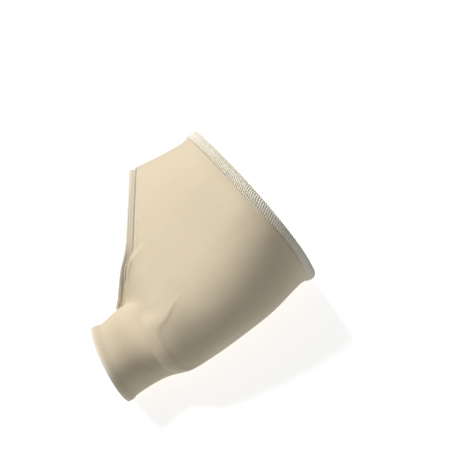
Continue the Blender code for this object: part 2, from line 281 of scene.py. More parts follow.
def line_edge(point):
    """The toe line runs from the web over to the lateral border, where LATERAL_LENGTH is left."""
    web = toe_ring(np.array(-WEB_AHEAD), np.array(math.pi))
    border = body_ring(np.array(HEM_BEHIND / 2), np.array(math.pi))
    slope = (HEM_BEHIND + WEB_AHEAD - LATERAL_LENGTH) / (web[0] - border[0])
    across = np.maximum(web[0] - point[..., 0], 0.0)
    height = np.maximum(point[..., 2] - web[2], 0.0)
    lean = LINE_LEAN * height * smooth_step(across / LINE_LEAN_RUN)
    return -WEB_AHEAD + slope * across + lean


def even_shares(count):
    """Shares of the rest side that lie evenly along the toe line."""
    fine = np.linspace(0, 1, FINE_POINTS)
    points = rest_side(edge_stations(rest_side, fine, line_edge, 0.0), fine)
    run = np.concatenate([[0], np.cumsum(np.linalg.norm(np.diff(points, axis=0), axis=1))])
    return np.interp(np.linspace(0, run[-1], count), run, fine)


def side_grid(side, shares, first, last, along):
    """Rows of points from the first stations to the last, one column for each share."""
    stations = first + (last - first) * along[:, None]
    return side(stations, np.broadcast_to(shares, stations.shape))


def toe_side_girth():
    """Half the toe side's length round the ball."""
    return (BALL_WIDTH / 2 + INSTEP_HEIGHT) * VALLEY_ANGLE / math.pi


def pad_reach(along, around):
    """The share of the way from the pad's middle to its edge, and how far forward that lies."""
    long_way = np.abs(along) / (PAD_LENGTH / 2)
    short_way = np.abs(around) / (PAD_WIDTH / 2)
    reach = (long_way**PAD_SQUARENESS + short_way**PAD_SQUARENESS) ** (1 / PAD_SQUARENESS)
    ahead = -along / (PAD_LENGTH / 2) / np.maximum(reach, TINY)
    forward = smooth_step((ahead - PAD_FRONT_FROM) / (1 - PAD_FRONT_FROM))
    return reach, forward


def pad_height(reach, forward):
    """The pad's thickness: domed, with a thicker edge in front."""
    edge = PAD_EDGE + (PAD_FRONT_EDGE - PAD_EDGE) * forward
    return edge + (PAD_THICKNESS - edge) * np.clip(1 - reach**2, 0, 1)


def pad_lift(share, station):
    """How far the sleeve stands off the worn form over and round the pad."""
    around = (1 - 2 * share) * toe_side_girth() - PAD_RISE
    reach, forward = pad_reach(station - PAD_BEHIND, around)
    tent = PAD_TENT + (PAD_FRONT_TENT - PAD_TENT) * forward
    beyond = np.clip(((reach - 1) * PAD_WIDTH / 2 - PAD_SHOULDER * forward) / tent, 0, 1)
    height = pad_height(np.minimum(reach, 1), forward) + PAD_CLEARANCE
    ridge = 1 - smooth_step(beyond)
    return height * (forward * ridge + (1 - forward) * (1 - beyond) ** 2)


def pad_bead(share, station):
    """The pad's front rim where it presses a narrow ridge into the sleeve."""
    around = (1 - 2 * share) * toe_side_girth() - PAD_RISE
    reach, forward = pad_reach(station - PAD_BEHIND, around)
    off = np.abs(reach - 1) * PAD_LENGTH / 2
    return PAD_BEAD * forward * (1 - smooth_step(off / PAD_BEAD_HALF))


def flare(distance, rise, run):
    """How far an edge stands off the worn form at a distance from its end."""
    return rise * smooth_step(1 - distance / run)


# Meshes

def quads_between(first, second, closed=True):
    """Quads between two rows of vertex numbers."""
    if closed:
        first, second = np.append(first, first[0]), np.append(second, second[0])
    return np.stack([first[:-1], first[1:], second[1:], second[:-1]], 1)


def grid_quads(rows, closed=True):
    return np.concatenate([quads_between(a, b, closed) for a, b in zip(rows, rows[1:])])


def grid_corners(values, wrap):
    """A value for each corner of a closed grid's quads. It grows by wrap once round."""
    closed = np.concatenate([values, values[:, :1] + wrap], axis=1)
    corners = [closed[:-1, :-1], closed[:-1, 1:], closed[1:, 1:], closed[1:, :-1]]
    return np.stack(corners, -1).reshape(-1, 4)


def vertex_normals(points, quads):
    """Outward directions of the vertices of a quad mesh."""
    a, b, c, d = (points[quads[:, k]] for k in range(4))
    faces = np.cross(c - a, d - b)
    total = np.zeros_like(points)
    for k in range(4):
        for axis in range(3):
            total[:, axis] += np.bincount(quads[:, k], faces[:, axis], len(points))
    return unit(total)


def add_mesh(name, points, faces, material, floats=None, corner_uv=None):
    """A piece of the object, shaded smooth, that rides on the one body."""
    mesh = bpy.data.meshes.new(name)
    mesh.from_pydata([tuple(p) for p in points], [], [tuple(int(k) for k in f) for f in faces])
    mesh.update()
    if corner_uv is not None:
        layer = mesh.uv_layers.new(name="knit")
        layer.data.foreach_set("uv", np.asarray(corner_uv, np.float32).ravel())
    for key, values in (floats or {}).items():
        attribute = mesh.attributes.new(key, "FLOAT", "POINT")
        attribute.data.foreach_set("value", np.asarray(values, np.float32))
    mesh.materials.append(material)
    mesh.shade_smooth()
    item = bpy.data.objects.new(name, mesh)
    bpy.context.scene.collection.objects.link(item)
    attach(item, "root")
    return item


def ring_path(points, count):
    """How far along a closed path each point lies, and that many even distances along it."""
    closed = np.concatenate([points, points[:1]])
    run = np.concatenate([[0], np.cumsum(np.linalg.norm(np.diff(closed, axis=0), axis=1))])
    return run, np.linspace(0, run[-1], count, endpoint=False)


def along_ring(run, values, at):
    """Values of a closed ring, read at distances along it."""
    closed = np.concatenate([values, values[:1]])
    at = np.mod(at, run[-1])
    return np.stack([np.interp(at, run, closed[:, k]) for k in range(closed.shape[1])], -1)


def sweep(path, radius, sides, closed):
    """Vertices and quads of a round tube along a path. Its frame turns as little as it can."""
    path = np.asarray(path)
    if closed:
        tangents = unit(np.roll(path, -1, 0) - np.roll(path, 1, 0))
    else:
        tangents = unit(np.gradient(path, axis=0))
    side = np.cross(tangents[0], (0.3, 0.5, 0.8))
    sides_at = []
    for tangent in tangents:
        side = side - tangent * np.dot(side, tangent)
        side = side / np.linalg.norm(side)
        sides_at.append(side)
    sides_at = np.array(sides_at)
    ups = np.cross(tangents, sides_at)
    turns = np.arange(sides) * 2 * math.pi / sides
    radius = np.broadcast_to(radius, len(path))[:, None, None]
    cosines, sines = np.cos(turns)[None, :, None], np.sin(turns)[None, :, None]
    rings = path[:, None] + radius * (sides_at[:, None] * cosines + ups[:, None] * sines)
    numbers = np.arange(len(path) * sides).reshape(len(path), sides)
    rows = np.concatenate([numbers, numbers[:1]]) if closed else numbers
    return rings.reshape(-1, 3), [tuple(q) for q in grid_quads(rows)], numbers


# The sleeve's middle surface

toe_shares = np.linspace(0, 1, TOE_COLUMNS + 1)
rest_shares = even_shares(REST_COLUMNS + 1)
hem_toe = edge_stations(toe_side, toe_shares, hem_edge, HEM_BEHIND)
hem_rest = edge_stations(rest_side, rest_shares, hem_edge, HEM_BEHIND)
cuff = edge_stations(toe_side, toe_shares, cuff_edge, -CUFF_AHEAD)
line = edge_stations(rest_side, rest_shares, line_edge, 0.0)
line[0] = line[-1] = -WEB_AHEAD

row_shares = np.concatenate(
    [np.linspace(0, EDGE_SHARE, EDGE_ROWS), np.linspace(EDGE_SHARE, 1, BODY_ROWS)[1:]]
)
inner_end = HEM_WIDTH - TUCK
web_stations = -WEB_AHEAD + 0 * cuff
tube_grid = side_grid(toe_side, toe_shares, cuff, web_stations, np.linspace(0, 1, TUBE_ROWS))
toe_grid = side_grid(toe_side, toe_shares, web_stations, hem_toe - inner_end, row_shares)
rest_grid = side_grid(rest_side, rest_shares, line, hem_rest - inner_end, row_shares)

# Vertex numbers: the tube's rings, then the toe line, then the body's rings behind it
tube_ids = np.arange(TUBE_ROWS * TOE_COLUMNS).reshape(TUBE_ROWS, TOE_COLUMNS)
line_ids = tube_ids.size + np.arange(REST_COLUMNS - 1)
ring_size = TOE_COLUMNS + REST_COLUMNS
body_ids = line_ids[-1] + 1 + np.arange((len(row_shares) - 1) * ring_size).reshape(-1, ring_size)
web_id = tube_ids[-1, 0]
first_ring = np.concatenate([tube_ids[-1], [web_id], line_ids])
body_rows = np.concatenate([first_ring[None], body_ids])

rest_back = rest_grid[:, ::-1][:, 1:-1]
middle = np.concatenate(
    [
        tube_grid[:, :-1].reshape(-1, 3),
        rest_back[0],
        np.concatenate([toe_grid, rest_back], axis=1)[1:].reshape(-1, 3),
    ]
)
quads = np.concatenate([grid_quads(tube_ids), grid_quads(body_rows)])

# The two valleys behind the web, where stretched fabric bridges the corner
columns = np.arange(ring_size)
from_valley = np.minimum(np.minimum(columns, ring_size - columns), np.abs(columns - TOE_COLUMNS))
ease = 1 - smooth_step(from_valley / EASE_COLUMNS)
moved = body_rows[1:-1]
neighbours = np.stack(
    [body_rows[:-2], body_rows[2:], np.roll(moved, 1, axis=1), np.roll(moved, -1, axis=1)], -1
)
near = ease > 0
for _ in range(EASE_ROUNDS):
    mean = middle[neighbours[:, near]].mean(axis=2)
    places = middle[moved[:, near]]
    middle[moved[:, near]] = places + 0.5 * np.sqrt(ease[near])[None, :, None] * (mean - places)

# The toe line's bend beside the web, rounded as taut fabric rounds it
loop_ids = np.concatenate([[web_id], line_ids])
bend = middle[loop_ids]
bend_run = np.linalg.norm(bend - bend[0], axis=1)
bent = smooth_step(bend_run / TAUT_FROM) * (1 - smooth_step((bend_run - TAUT_TO) / TAUT_FADE))
taut = bend
for _ in range(TAUT_ROUNDS):
    mean = (np.roll(taut, 1, 0) + np.roll(taut, -1, 0)) / 2
    taut = taut + 0.5 * bent[:, None] * (mean - taut)
behind_loop = body_rows[:, TOE_COLUMNS:]
depth = np.linalg.norm(middle[behind_loop] - bend[None], axis=2)
middle[behind_loop] += (taut - bend)[None] * (1 - smooth_step(depth / TAUT_DEPTH))[..., None]

# How far each vertex stands off the worn form
lift = np.zeros(len(middle))
lift[tube_ids] = pad_lift(toe_shares[:-1], tube_grid[:, :-1, 1])
lift[tube_ids] += flare(tube_grid[:, :-1, 1] - cuff[:-1], CUFF_FLARE, CUFF_FLARE_RUN)
behind = middle[body_ids][..., 1]
hem_end = np.concatenate([hem_toe, hem_rest[::-1][1:-1]])
body_lift = flare(hem_end - behind, HEM_FLARE, HEM_FLARE_RUN)
body_lift[:, : TOE_COLUMNS + 1] += pad_lift(toe_shares, behind[:, : TOE_COLUMNS + 1])
lift[body_ids] = body_lift
form_normals = vertex_normals(middle, quads)
middle = middle + form_normals * lift[:, None]
normals = vertex_normals(middle, quads)

# The toe line, as a closed loop from the web, with its way ahead and its way out
loop = middle[loop_ids]
ahead = unit(loop - middle[behind_loop[1]])
ahead[0] = unit((loop[WEB_SPAN] + loop[-WEB_SPAN]) / 2 - loop[0])
tangent = unit(np.roll(loop, -1, 0) - np.roll(loop, 1, 0))
out = normals[loop_ids]
for _ in range(WAY_ROUNDS):
    ahead, tangent, out = (
        unit(np.roll(way, 1, 0) + 2 * way + np.roll(way, -1, 0)) for way in (ahead, tangent, out)
    )
ahead = unit(ahead - tangent * np.sum(ahead * tangent, 1, keepdims=True))
out = unit(out - tangent * np.sum(out * tangent, 1, keepdims=True))
out = unit(out - ahead * np.sum(out * ahead, 1, keepdims=True))
from_web = np.linalg.norm(loop - loop[0], axis=1)
clearance = WEB_CLEARANCE * (1 - smooth_step(from_web / WEB_CLEARANCE_RUN))

# Distances in metres that the relief and the knit's painted shade and painted highlight use
far = 1.0
line_distance = np.full(len(middle), far)
close = np.unique(body_rows[:NEAR_ROWS])
for block in np.array_split(close, DISTANCE_BLOCKS):
    gaps = np.linalg.norm(middle[block][:, None] - loop[None], axis=2)
    line_distance[block] = gaps.min(axis=1)
web_distance = np.linalg.norm(middle - middle[web_id], axis=1)
cuff_distance = np.full(len(middle), far)
cuff_distance[tube_ids] = tube_grid[:, :-1, 1] - cuff[:-1]

# Relief of the outer face: the turned edge, the channel behind it and the row of stitches
CHANNEL_AT = 0.0017
CHANNEL_HALF = 0.0015
CHANNEL_DEPTH = 0.0005
STITCH_AT = 0.0030
STITCH_RIDGE = 0.00016
RIDGE_BEHIND = 0.0006
RIDGE_HALF = 0.0009
CHANNEL_CLEAR_OF_WEB = 0.009
CHANNEL_FADE_RUN = 0.012
PAD_BEAD = 0.00045
PAD_BEAD_HALF = 0.0011
fade = smooth_step((web_distance - CHANNEL_CLEAR_OF_WEB) / CHANNEL_FADE_RUN)
channel = 1 - smooth_step(np.abs(line_distance - CHANNEL_AT) / CHANNEL_HALF)
ridge = 1 - smooth_step(np.abs(line_distance - STITCH_AT - RIDGE_BEHIND) / RIDGE_HALF)
relief = fade * (STITCH_RIDGE * ridge - CHANNEL_DEPTH * channel)
relief[tube_ids] += pad_bead(toe_shares[:-1], tube_grid[:, :-1, 1])
relief[body_ids[:, : TOE_COLUMNS + 1]] += pad_bead(toe_shares, behind[:, : TOE_COLUMNS + 1])

# The wall, which is thinner at the cuff's cut edge
thickness = WALL - (WALL - CUT_EDGE) * (1 - smooth_step(cuff_distance / CUT_EDGE_RUN))

# The edge of the fabric reaches into the roll, also where the roll stands clear of the web
REACH_RUN = 0.002
reach_ahead = (clearance + TUCK) * smooth_step(from_web / REACH_RUN)
middle[loop_ids] += ahead * reach_ahead[:, None]

outer = middle + normals * (thickness + relief)[:, None]
inner = middle
count = len(middle)

# Where the knit's columns and courses run: across in metres at the ball, along from the hem
girth = 2 * toe_side_girth()
toe_across = toe_shares * girth
across = np.concatenate([toe_across, girth + np.linspace(0, girth, REST_COLUMNS + 1)[1:-1]])
steps = np.linalg.norm(np.diff(middle[body_rows], axis=0), axis=2)
body_run = np.concatenate([np.cumsum(steps[::-1], axis=0)[::-1], np.zeros((1, ring_size))])
steps = np.linalg.norm(np.diff(middle[tube_ids], axis=0), axis=2)
tube_run = np.concatenate([np.cumsum(steps[::-1], axis=0)[::-1], np.zeros((1, TOE_COLUMNS))])
tube_run = tube_run + body_run[0, :TOE_COLUMNS]


def knit_corners(columns, runs, wrap):
    columns = np.broadcast_to(columns, runs.shape)
    return np.stack([grid_corners(columns, wrap), grid_corners(runs, 0.0)], -1)


wall_uv = np.concatenate(
    [knit_corners(toe_across[:-1], tube_run, girth), knit_corners(across, body_run, 2 * girth)]
)
points = [outer, inner]
faces = [quads, quads[:, ::-1] + count]
corner_uv = [wall_uv, wall_uv[:, ::-1]]


def close_edge(ids, way, rounds, columns, runs, wrap, flip):
    """A rounded rim that bulges the given way, from the outer face's edge to the inner one's."""
    top, bottom = outer[ids], inner[ids]
    half = np.linalg.norm(top - bottom, axis=1, keepdims=True) / 2
    rows = [ids]
    for k in range(1, rounds):
        turn = math.pi * k / rounds
        start = sum(len(p) for p in points)
        points.append(
            (top + bottom) / 2 + (top - bottom) / 2 * math.cos(turn) + way * half * math.sin(turn)
        )
        rows.append(start + np.arange(len(ids)))
    rows.append(ids + count)
    order = -1 if flip else 1
    faces.append(grid_quads(rows)[:, ::order])
    corner_uv.append(knit_corners(columns, np.tile(runs, (len(rows), 1)), wrap)[:, ::order])


cuff_way = unit(middle[tube_ids[0]] - middle[tube_ids[1]])
close_edge(tube_ids[0], cuff_way, CUFF_RIM_STEPS, toe_across[:-1], tube_run[0], girth, True)
hem_way = unit(middle[body_rows[-1]] - middle[body_rows[-2]])
close_edge(body_rows[-1], hem_way, 1, across, body_run[-1], 2 * girth, False)
close_edge(loop_ids, ahead, 1, across[TOE_COLUMNS:], body_run[0, TOE_COLUMNS:], girth, True)
points = np.concatenate(points)
faces = np.concatenate(faces)
corner_uv = np.concatenate(corner_uv)


def both_faces(values, on_rim):
    """A value of the middle surface, for the outer face, the inner one and the rims."""
    return np.concatenate([values, values, np.full(len(points) - 2 * count, on_rim)])


# Materials

class Nodes:
    """Adds nodes to a new material and joins them."""

    def __init__(self, name, colour, roughness, **sockets):
        self.material = bpy.data.materials.new(name)
        self.material.use_nodes = True
        self.tree = self.material.node_tree
        self.shader = self.tree.nodes["Principled BSDF"]
        self.shader.inputs["Base Color"].default_value = (*colour, 1)
        self.shader.inputs["Roughness"].default_value = roughness
        for key, value in sockets.items():
            self.shader.inputs[key.replace("_", " ")].default_value = value

    def add(self, kind, links=(), **settings):
        node = self.tree.nodes.new(kind)
        for key, value in settings.items():
            if hasattr(node, key):
                setattr(node, key, value)
            else:
                node.inputs[key.replace("_", " ")].default_value = value
        for socket, source in links:
            self.tree.links.new(source, node.inputs[socket])
        return node

    def math(self, operation, *terms):
        node = self.tree.nodes.new("ShaderNodeMath")
        node.operation = operation
        for k, term in enumerate(terms):
            if isinstance(term, (int, float)):
                node.inputs[k].default_value = term
            else:
                self.tree.links.new(term, node.inputs[k])
        return node.outputs[0]

    def noise(self, scale, detail=2.0):
        place = self.add("ShaderNodeTexCoord").outputs["Object"]
        node = self.add("ShaderNodeTexNoise", [("Vector", place)], Scale=scale, Detail=detail)
        return node.outputs["Fac"]

    def attribute(self, name):
        return self.add("ShaderNodeAttribute", attribute_name=name).outputs["Fac"]

    def ramp(self, value, low, high, start=0.0, end=1.0):
        node = self.tree.nodes.new("ShaderNodeMapRange")
        node.interpolation_type = "SMOOTHSTEP"
        limits = {"From Min": low, "From Max": high, "To Min": start, "To Max": end}
        for key, number in limits.items():
            node.inputs[key].default_value = number
        self.tree.links.new(value, node.inputs["Value"])
        return node.outputs["Result"]

    def mix(self, factor, first, second):
        node = self.tree.nodes.new("ShaderNodeMix")
        node.data_type = "RGBA"
        self.tree.links.new(factor, node.inputs[0])
        for k, colour in ((6, first), (7, second)):
            if isinstance(colour, tuple):
                node.inputs[k].default_value = (*colour, 1)
            else:
                self.tree.links.new(colour, node.inputs[k])
        return node.outputs[2]

    def bump(self, height, strength, distance, under=None):
        links = [("Height", height)] + ([("Normal", under)] if under else [])
        return self.add("ShaderNodeBump", links, Strength=strength, Distance=distance).outputs[0]

    def finish(self, colour=None, normal=None, roughness=None):
        sources = {"Base Color": colour, "Normal": normal, "Roughness": roughness}
        for socket, source in sources.items():
            if source is not None:
                self.tree.links.new(source, self.shader.inputs[socket])
        return self.material


KNIT = (0.750, 0.645, 0.464)
KNIT_GAP_SHADE_AND_CLOUD = (0.640, 0.540, 0.385)
KNIT_PALE = (0.800, 0.705, 0.550)
KNIT_CUT_HIGHLIGHT = (0.860, 0.770, 0.640)
# Grey of the painted shade in the channel behind the toe line
CHANNEL_SHADE_COLOUR = (0.560, 0.525, 0.455)
SPECKLE_SHARE = 0.22
CLOUD_SHARE = 0.10
CHANNEL_SHADE_SHARE = 0.75
WALE = 0.00062
COURSE = 0.00050
V_SLANT = 0.9


def knit_height(nodes):
    """The height of plain knit: two slanted strokes in each column, one loop in each course."""
    uv = nodes.add("ShaderNodeUVMap", uv_map="knit").outputs["UV"]
    parts = nodes.add("ShaderNodeSeparateXYZ", [(0, uv)])
    across = nodes.math("DIVIDE", parts.outputs[0], WALE)
    along = nodes.math("DIVIDE", parts.outputs[1], COURSE)
    aside = nodes.math("ABSOLUTE", nodes.math("SUBTRACT", nodes.math("FRACT", across), 0.5))
    stroke = nodes.math("PINGPONG", nodes.math("MULTIPLY", aside, 4.0), 1.0)
    slanted = nodes.math("MULTIPLY_ADD", aside, 2 * V_SLANT, along)
    loop = nodes.math("SINE", nodes.math("MULTIPLY", slanted, 2 * math.pi))
    loop = nodes.math("MULTIPLY_ADD", loop, 0.25, 0.75)
    return nodes.math("MULTIPLY", nodes.math("SQRT", stroke), loop)


def knit_material():
    """Matt stretch knit with a soft sheen; painted shade in the loop gaps and channel, painted
    highlight at the cut edge.
    """
    sheen = {"Sheen_Weight": 0.22, "Sheen_Roughness": 0.45, "Sheen_Tint": (1.0, 0.96, 0.9, 1)}
    nodes = Nodes("knit", KNIT, 0.86, **sheen)
    height = knit_height(nodes)
    cloud = nodes.ramp(nodes.noise(55.0, 3.0), 0.35, 0.65)
    speckle = nodes.ramp(nodes.noise(1500.0, 2.0), 0.40, 0.68)
    # Painted shade: the gaps between the knit's loops are darker; the same dark colour also tints
    # random clouds below
    colour = nodes.mix(height, KNIT_GAP_SHADE_AND_CLOUD, KNIT)
    colour = nodes.mix(nodes.math("MULTIPLY", speckle, SPECKLE_SHARE), colour, KNIT_PALE)
    colour = nodes.mix(nodes.math("MULTIPLY", cloud, CLOUD_SHARE), colour, KNIT_GAP_SHADE_AND_CLOUD)
    # Painted shade: the knit turns grey in the channel behind the toe line, fading out near the web
    channel_shade = nodes.math("MULTIPLY", nodes.attribute("channel"), CHANNEL_SHADE_SHARE)
    colour = nodes.mix(channel_shade, colour, CHANNEL_SHADE_COLOUR)
    # Painted highlight: a pale line along the cuff's cut edge and over every rim
    colour = nodes.mix(nodes.attribute("cut_edge_highlight"), colour, KNIT_CUT_HIGHLIGHT)
    fuzz = nodes.bump(nodes.noise(2600.0, 2.0), 0.12, 0.00010)
    normal = nodes.bump(height, 0.30, 0.00012, fuzz)
    rough = nodes.ramp(nodes.noise(300.0, 2.0), 0.3, 0.7, 0.80, 0.92)
    return nodes.finish(colour, normal, rough)


def thread_material(name, colour, deep, twist):
    """Spun thread: fine fibre noise between a deep tone and a pale one, with faint darker clouds."""
    nodes = Nodes(name, colour, 0.75, Sheen_Weight=0.25, Sheen_Roughness=0.4)
    fine = nodes.noise(twist, 3.0)
    cloud = nodes.ramp(nodes.noise(160.0, 2.0), 0.3, 0.7)
    shade = nodes.mix(nodes.ramp(fine, 0.35, 0.65), deep, colour)
    shade = nodes.mix(nodes.math("MULTIPLY", cloud, 0.2), shade, deep)
    return nodes.finish(shade, nodes.bump(fine, 0.35, 0.00008))


def gel_material():
    """Satin silicone gel, a little cloudy."""
    nodes = Nodes("gel", (0.83, 0.79, 0.68), 0.32, Coat_Weight=0.25, Coat_Roughness=0.2, IOR=1.41)
    cloud = nodes.ramp(nodes.noise(90.0, 3.0), 0.35, 0.65)
    colour = nodes.mix(cloud, (0.82, 0.77, 0.65), (0.86, 0.82, 0.71))
    rough = nodes.ramp(nodes.noise(240.0, 3.0), 0.3, 0.7, 0.26, 0.42)
    normal = nodes.bump(nodes.noise(420.0, 2.0), 0.05, 0.0002)
    return nodes.finish(colour, normal, rough)


knit = knit_material()
overlock = thread_material("overlock_thread", (0.93, 0.89, 0.775), (0.85, 0.80, 0.68), 2400.0)
band_cloth = thread_material("band_cloth", (0.90, 0.85, 0.73), (0.80, 0.745, 0.62), 1600.0)
rolled = thread_material("rolled_hem", (0.95, 0.89, 0.80), (0.87, 0.80, 0.70), 1800.0)
stitching = thread_material("stitching", (0.78, 0.71, 0.58), (0.60, 0.53, 0.42), 2400.0)
gel = gel_material()

# Painted light on the knit: shade in the channel and a highlight along the cuff's cut edge and the
# rims
painted_light_masks = {
    "channel": both_faces(channel * fade, 0.0) * (np.arange(len(points)) < count),
    "cut_edge_highlight": both_faces(1 - smooth_step(cuff_distance / HIGHLIGHT_EDGE_RUN), 1.0),
}
sleeve = add_mesh("sleeve_knit", points, faces, knit, painted_light_masks, corner_uv)
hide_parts("sleeve")

# The roll that edges the toe line, with a faint ripple where thread wraps it
ROLL_RIPPLE = 0.00004
ROLL_LIFT = 0.0005
ROLL_LIFT_RUN = 0.020
ROLL_AHEAD = 0.0003
ROLL_SINK = 0.0002
ROLL_RISE_RUN = 0.003
ROLL_SLIM = 0.62
ROLL_SLIM_RUN = 0.007
RIPPLE_PITCH = 0.0011
ROLL_POINTS = 900
ROLL_SIDES = 14
ROLL_ROUNDS = 12
run, at = ring_path(loop, ROLL_POINTS)
centre = loop + ahead * (clearance + ROLL_WIDTH / 2 - TUCK + ROLL_AHEAD)[:, None]
rise = ROLL_THICKNESS / 2 - ROLL_SINK + ROLL_LIFT * (1 - smooth_step(from_web / ROLL_LIFT_RUN))
rise = rise * smooth_step(from_web / ROLL_RISE_RUN)
centre = along_ring(run, centre + out * rise[:, None], at)
for _ in range(ROLL_ROUNDS):
    centre = (np.roll(centre, 1, 0) + 2 * centre + np.roll(centre, -1, 0)) / 4
roll_ahead, roll_out = unit(along_ring(run, ahead, at)), unit(along_ring(run, out, at))
ripple = ROLL_RIPPLE * np.sin(2 * math.pi * at / RIPPLE_PITCH)
slim_run = np.linalg.norm(centre - loop[0], axis=1) / ROLL_SLIM_RUN
slim = ROLL_SLIM + (1 - ROLL_SLIM) * smooth_step(slim_run)
half_ahead = roll_ahead * ((ROLL_WIDTH / 2 + ripple) * slim)[:, None]
half_out = roll_out * ((ROLL_THICKNESS / 2 + ripple) * slim)[:, None]
turns = (np.arange(ROLL_SIDES) * 2 * math.pi / ROLL_SIDES)[None, :, None]
rings = centre[:, None] + half_ahead[:, None] * np.cos(turns) + half_out[:, None] * np.sin(turns)
roll_numbers = np.arange(ROLL_POINTS * ROLL_SIDES).reshape(ROLL_POINTS, ROLL_SIDES)
roll_faces = grid_quads(np.concatenate([roll_numbers, roll_numbers[:1]]))[:, ::-1]
roll = add_mesh("toe_line_roll", rings.reshape(-1, 3), roll_faces, rolled)
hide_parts("toe_line_hem")

# The row of stitches behind the channel: short strokes across, a little slanted
STITCH_PITCH = 0.0010
STITCH_LENGTH = 0.0011
STITCH_RADIUS = 0.00024
STITCH_SLANT = 0.0003
STITCH_JITTER = 0.00008
STITCH_RISE = 0.75
STITCH_DIP = 10.0
STITCH_TAPER = 1.1
STITCH_THIN = 0.1
STITCH_CLEAR_OF_WEB = 0.009
STITCH_STEPS = 5
STITCH_SIDES = 6
LEAST_LANE_SLANT = 0.5
SEED = 7
random = np.random.default_rng(SEED)
lanes, lane_normals = outer[behind_loop], normals[behind_loop]
lane_gaps = np.linalg.norm(np.diff(lanes, axis=0), axis=2)
lane_run = np.concatenate([np.zeros((1, lanes.shape[1])), np.cumsum(lane_gaps, axis=0)])
lane_slant = np.abs(np.sum(unit(lanes[3] - lanes[0]) * ahead, axis=1))
lane_slant = np.maximum(lane_slant, LEAST_LANE_SLANT)
loop_run = np.concatenate([[0], np.cumsum(np.linalg.norm(np.diff(loop, axis=0), axis=1))])


def lane_spot(lane, behind_line, rise):
    """A place over one lane of the outer face, at a distance behind the toe line."""
    row = np.interp(behind_line / lane_slant[lane], lane_run[:, lane], np.arange(len(lanes)))
    low = min(int(row), len(lanes) - 2)
    part = row - low
    spot = lanes[low, lane] * (1 - part) + lanes[low + 1, lane] * part
    return spot + lane_normals[low, lane] * rise


taper = STITCH_TAPER - np.linspace(-1, 1, STITCH_STEPS) ** 2
stitch_radius = STITCH_RADIUS * np.sqrt(np.clip(taper, STITCH_THIN, 1))
stitch_points, stitch_faces = [], []
for stitch_at in np.arange(STITCH_CLEAR_OF_WEB, loop_run[-1] - STITCH_CLEAR_OF_WEB, STITCH_PITCH):
    path = []
    jitter = random.normal(0, STITCH_JITTER, 2)
    for step in np.linspace(-0.5, 0.5, STITCH_STEPS):
        at_lane = stitch_at + jitter[0] + STITCH_SLANT * step
        at_lane = np.interp(at_lane, loop_run, np.arange(len(loop_run)))
        left = min(int(at_lane), lanes.shape[1] - 2)
        share = at_lane - left
        behind_line = STITCH_AT + jitter[1] + STITCH_LENGTH * step
        rise = STITCH_RADIUS * (STITCH_RISE - STITCH_DIP * step**4)
        spots = [lane_spot(lane, behind_line, rise) for lane in (left, left + 1)]
        path.append(spots[0] * (1 - share) + spots[1] * share)
    tube_points, tube_faces, tube_numbers = sweep(path, stitch_radius, STITCH_SIDES, False)
    start = len(stitch_points) * STITCH_STEPS * STITCH_SIDES
    stitch_points.append(tube_points)
    stitch_faces += [tuple(k + start for k in face) for face in tube_faces]
    stitch_faces.append(tuple(tube_numbers[0] + start))
    stitch_faces.append(tuple(tube_numbers[-1][::-1] + start))
stitch_points = np.concatenate(stitch_points)
stitches = add_mesh("toe_line_stitches", stitch_points, stitch_faces, stitching)


# The overlocked band at the instep

BAND_POINTS = 420
BAND_INSET = 0.0002
BAND_ARC = 10
THREAD_PITCH = 0.00098
THREAD_RADIUS = 0.00038
THREAD_TURN_POINTS = 22
THREAD_SIDES = 7
THREAD_SLANT = 0.0015
THREAD_SINK = 0.00022
THREAD_WANDER = 0.00006
OVER_SHARE = 0.62
UNDER_DROP = 1.6
LOOPER_RADIUS = 0.00021
LOOPER_WAVE = 0.00022
LOOPER_RISE = 0.6
LOOPER_STEPS = 8
LOOPER_SIDES = 6
BACK_CHAIN_SHARE = 1.03
FRONT_CHAIN_RISE = 0.0002


def end_ring(toe_stations, rest_stations):
    toe = toe_side(toe_stations, toe_shares)
    rest = rest_side(rest_stations, rest_shares)
    return np.concatenate([toe, rest[::-1][1:-1]])


band_front = end_ring(hem_toe - HEM_WIDTH, hem_rest - HEM_WIDTH)
band_back = end_ring(hem_toe, hem_rest)
around = np.roll(band_back, -1, 0) - np.roll(band_back, 1, 0)
band_out = unit(np.cross(around, band_back - band_front))
band_front = band_front + band_out * flare(HEM_WIDTH, HEM_FLARE, HEM_FLARE_RUN)
band_back = band_back + band_out * flare(0.0, HEM_FLARE, HEM_FLARE_RUN)
band_run, band_at = ring_path(band_back, BAND_POINTS)


def band_place(at, share, height):
    """A point of the band: at a distance round it, a share of its width and a height."""
    front = along_ring(band_run, band_front, at)
    back = along_ring(band_run, band_back, at)
    way = unit(along_ring(band_run, band_out, at))
    return front + (back - front) * share[:, None] + way * height[:, None]


shoulder = HEM_SHOULDER * HEM_THICKNESS


def band_profile(turn):
    """Share of the width and height of the band's rounded outer face, for a turn from 0 to pi."""
    return (1 - np.cos(turn)) / 2, shoulder + (HEM_THICKNESS - shoulder) * np.sin(turn)


arc = np.linspace(0, math.pi, BAND_ARC)
arc_share, arc_height = band_profile(arc)
inset = BAND_INSET / HEM_WIDTH
band_shares = np.concatenate([[inset, 1 - inset], (inset + (1 - 2 * inset) * arc_share)[::-1]])
band_heights = np.concatenate([[BAND_INSET] * 2, (arc_height - BAND_INSET)[::-1]])
band_rings = [
    band_place(band_at, np.full(BAND_POINTS, s), np.full(BAND_POINTS, h))
    for s, h in zip(band_shares, band_heights)
]
band_points = np.stack(band_rings, 1).reshape(-1, 3)
band_sides = len(band_shares)
band_numbers = np.arange(BAND_POINTS * band_sides).reshape(BAND_POINTS, band_sides)
band_faces = grid_quads(np.concatenate([band_numbers, band_numbers[:1]]))
band = add_mesh("instep_band", band_points, band_faces, band_cloth)
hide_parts("instep_hem")

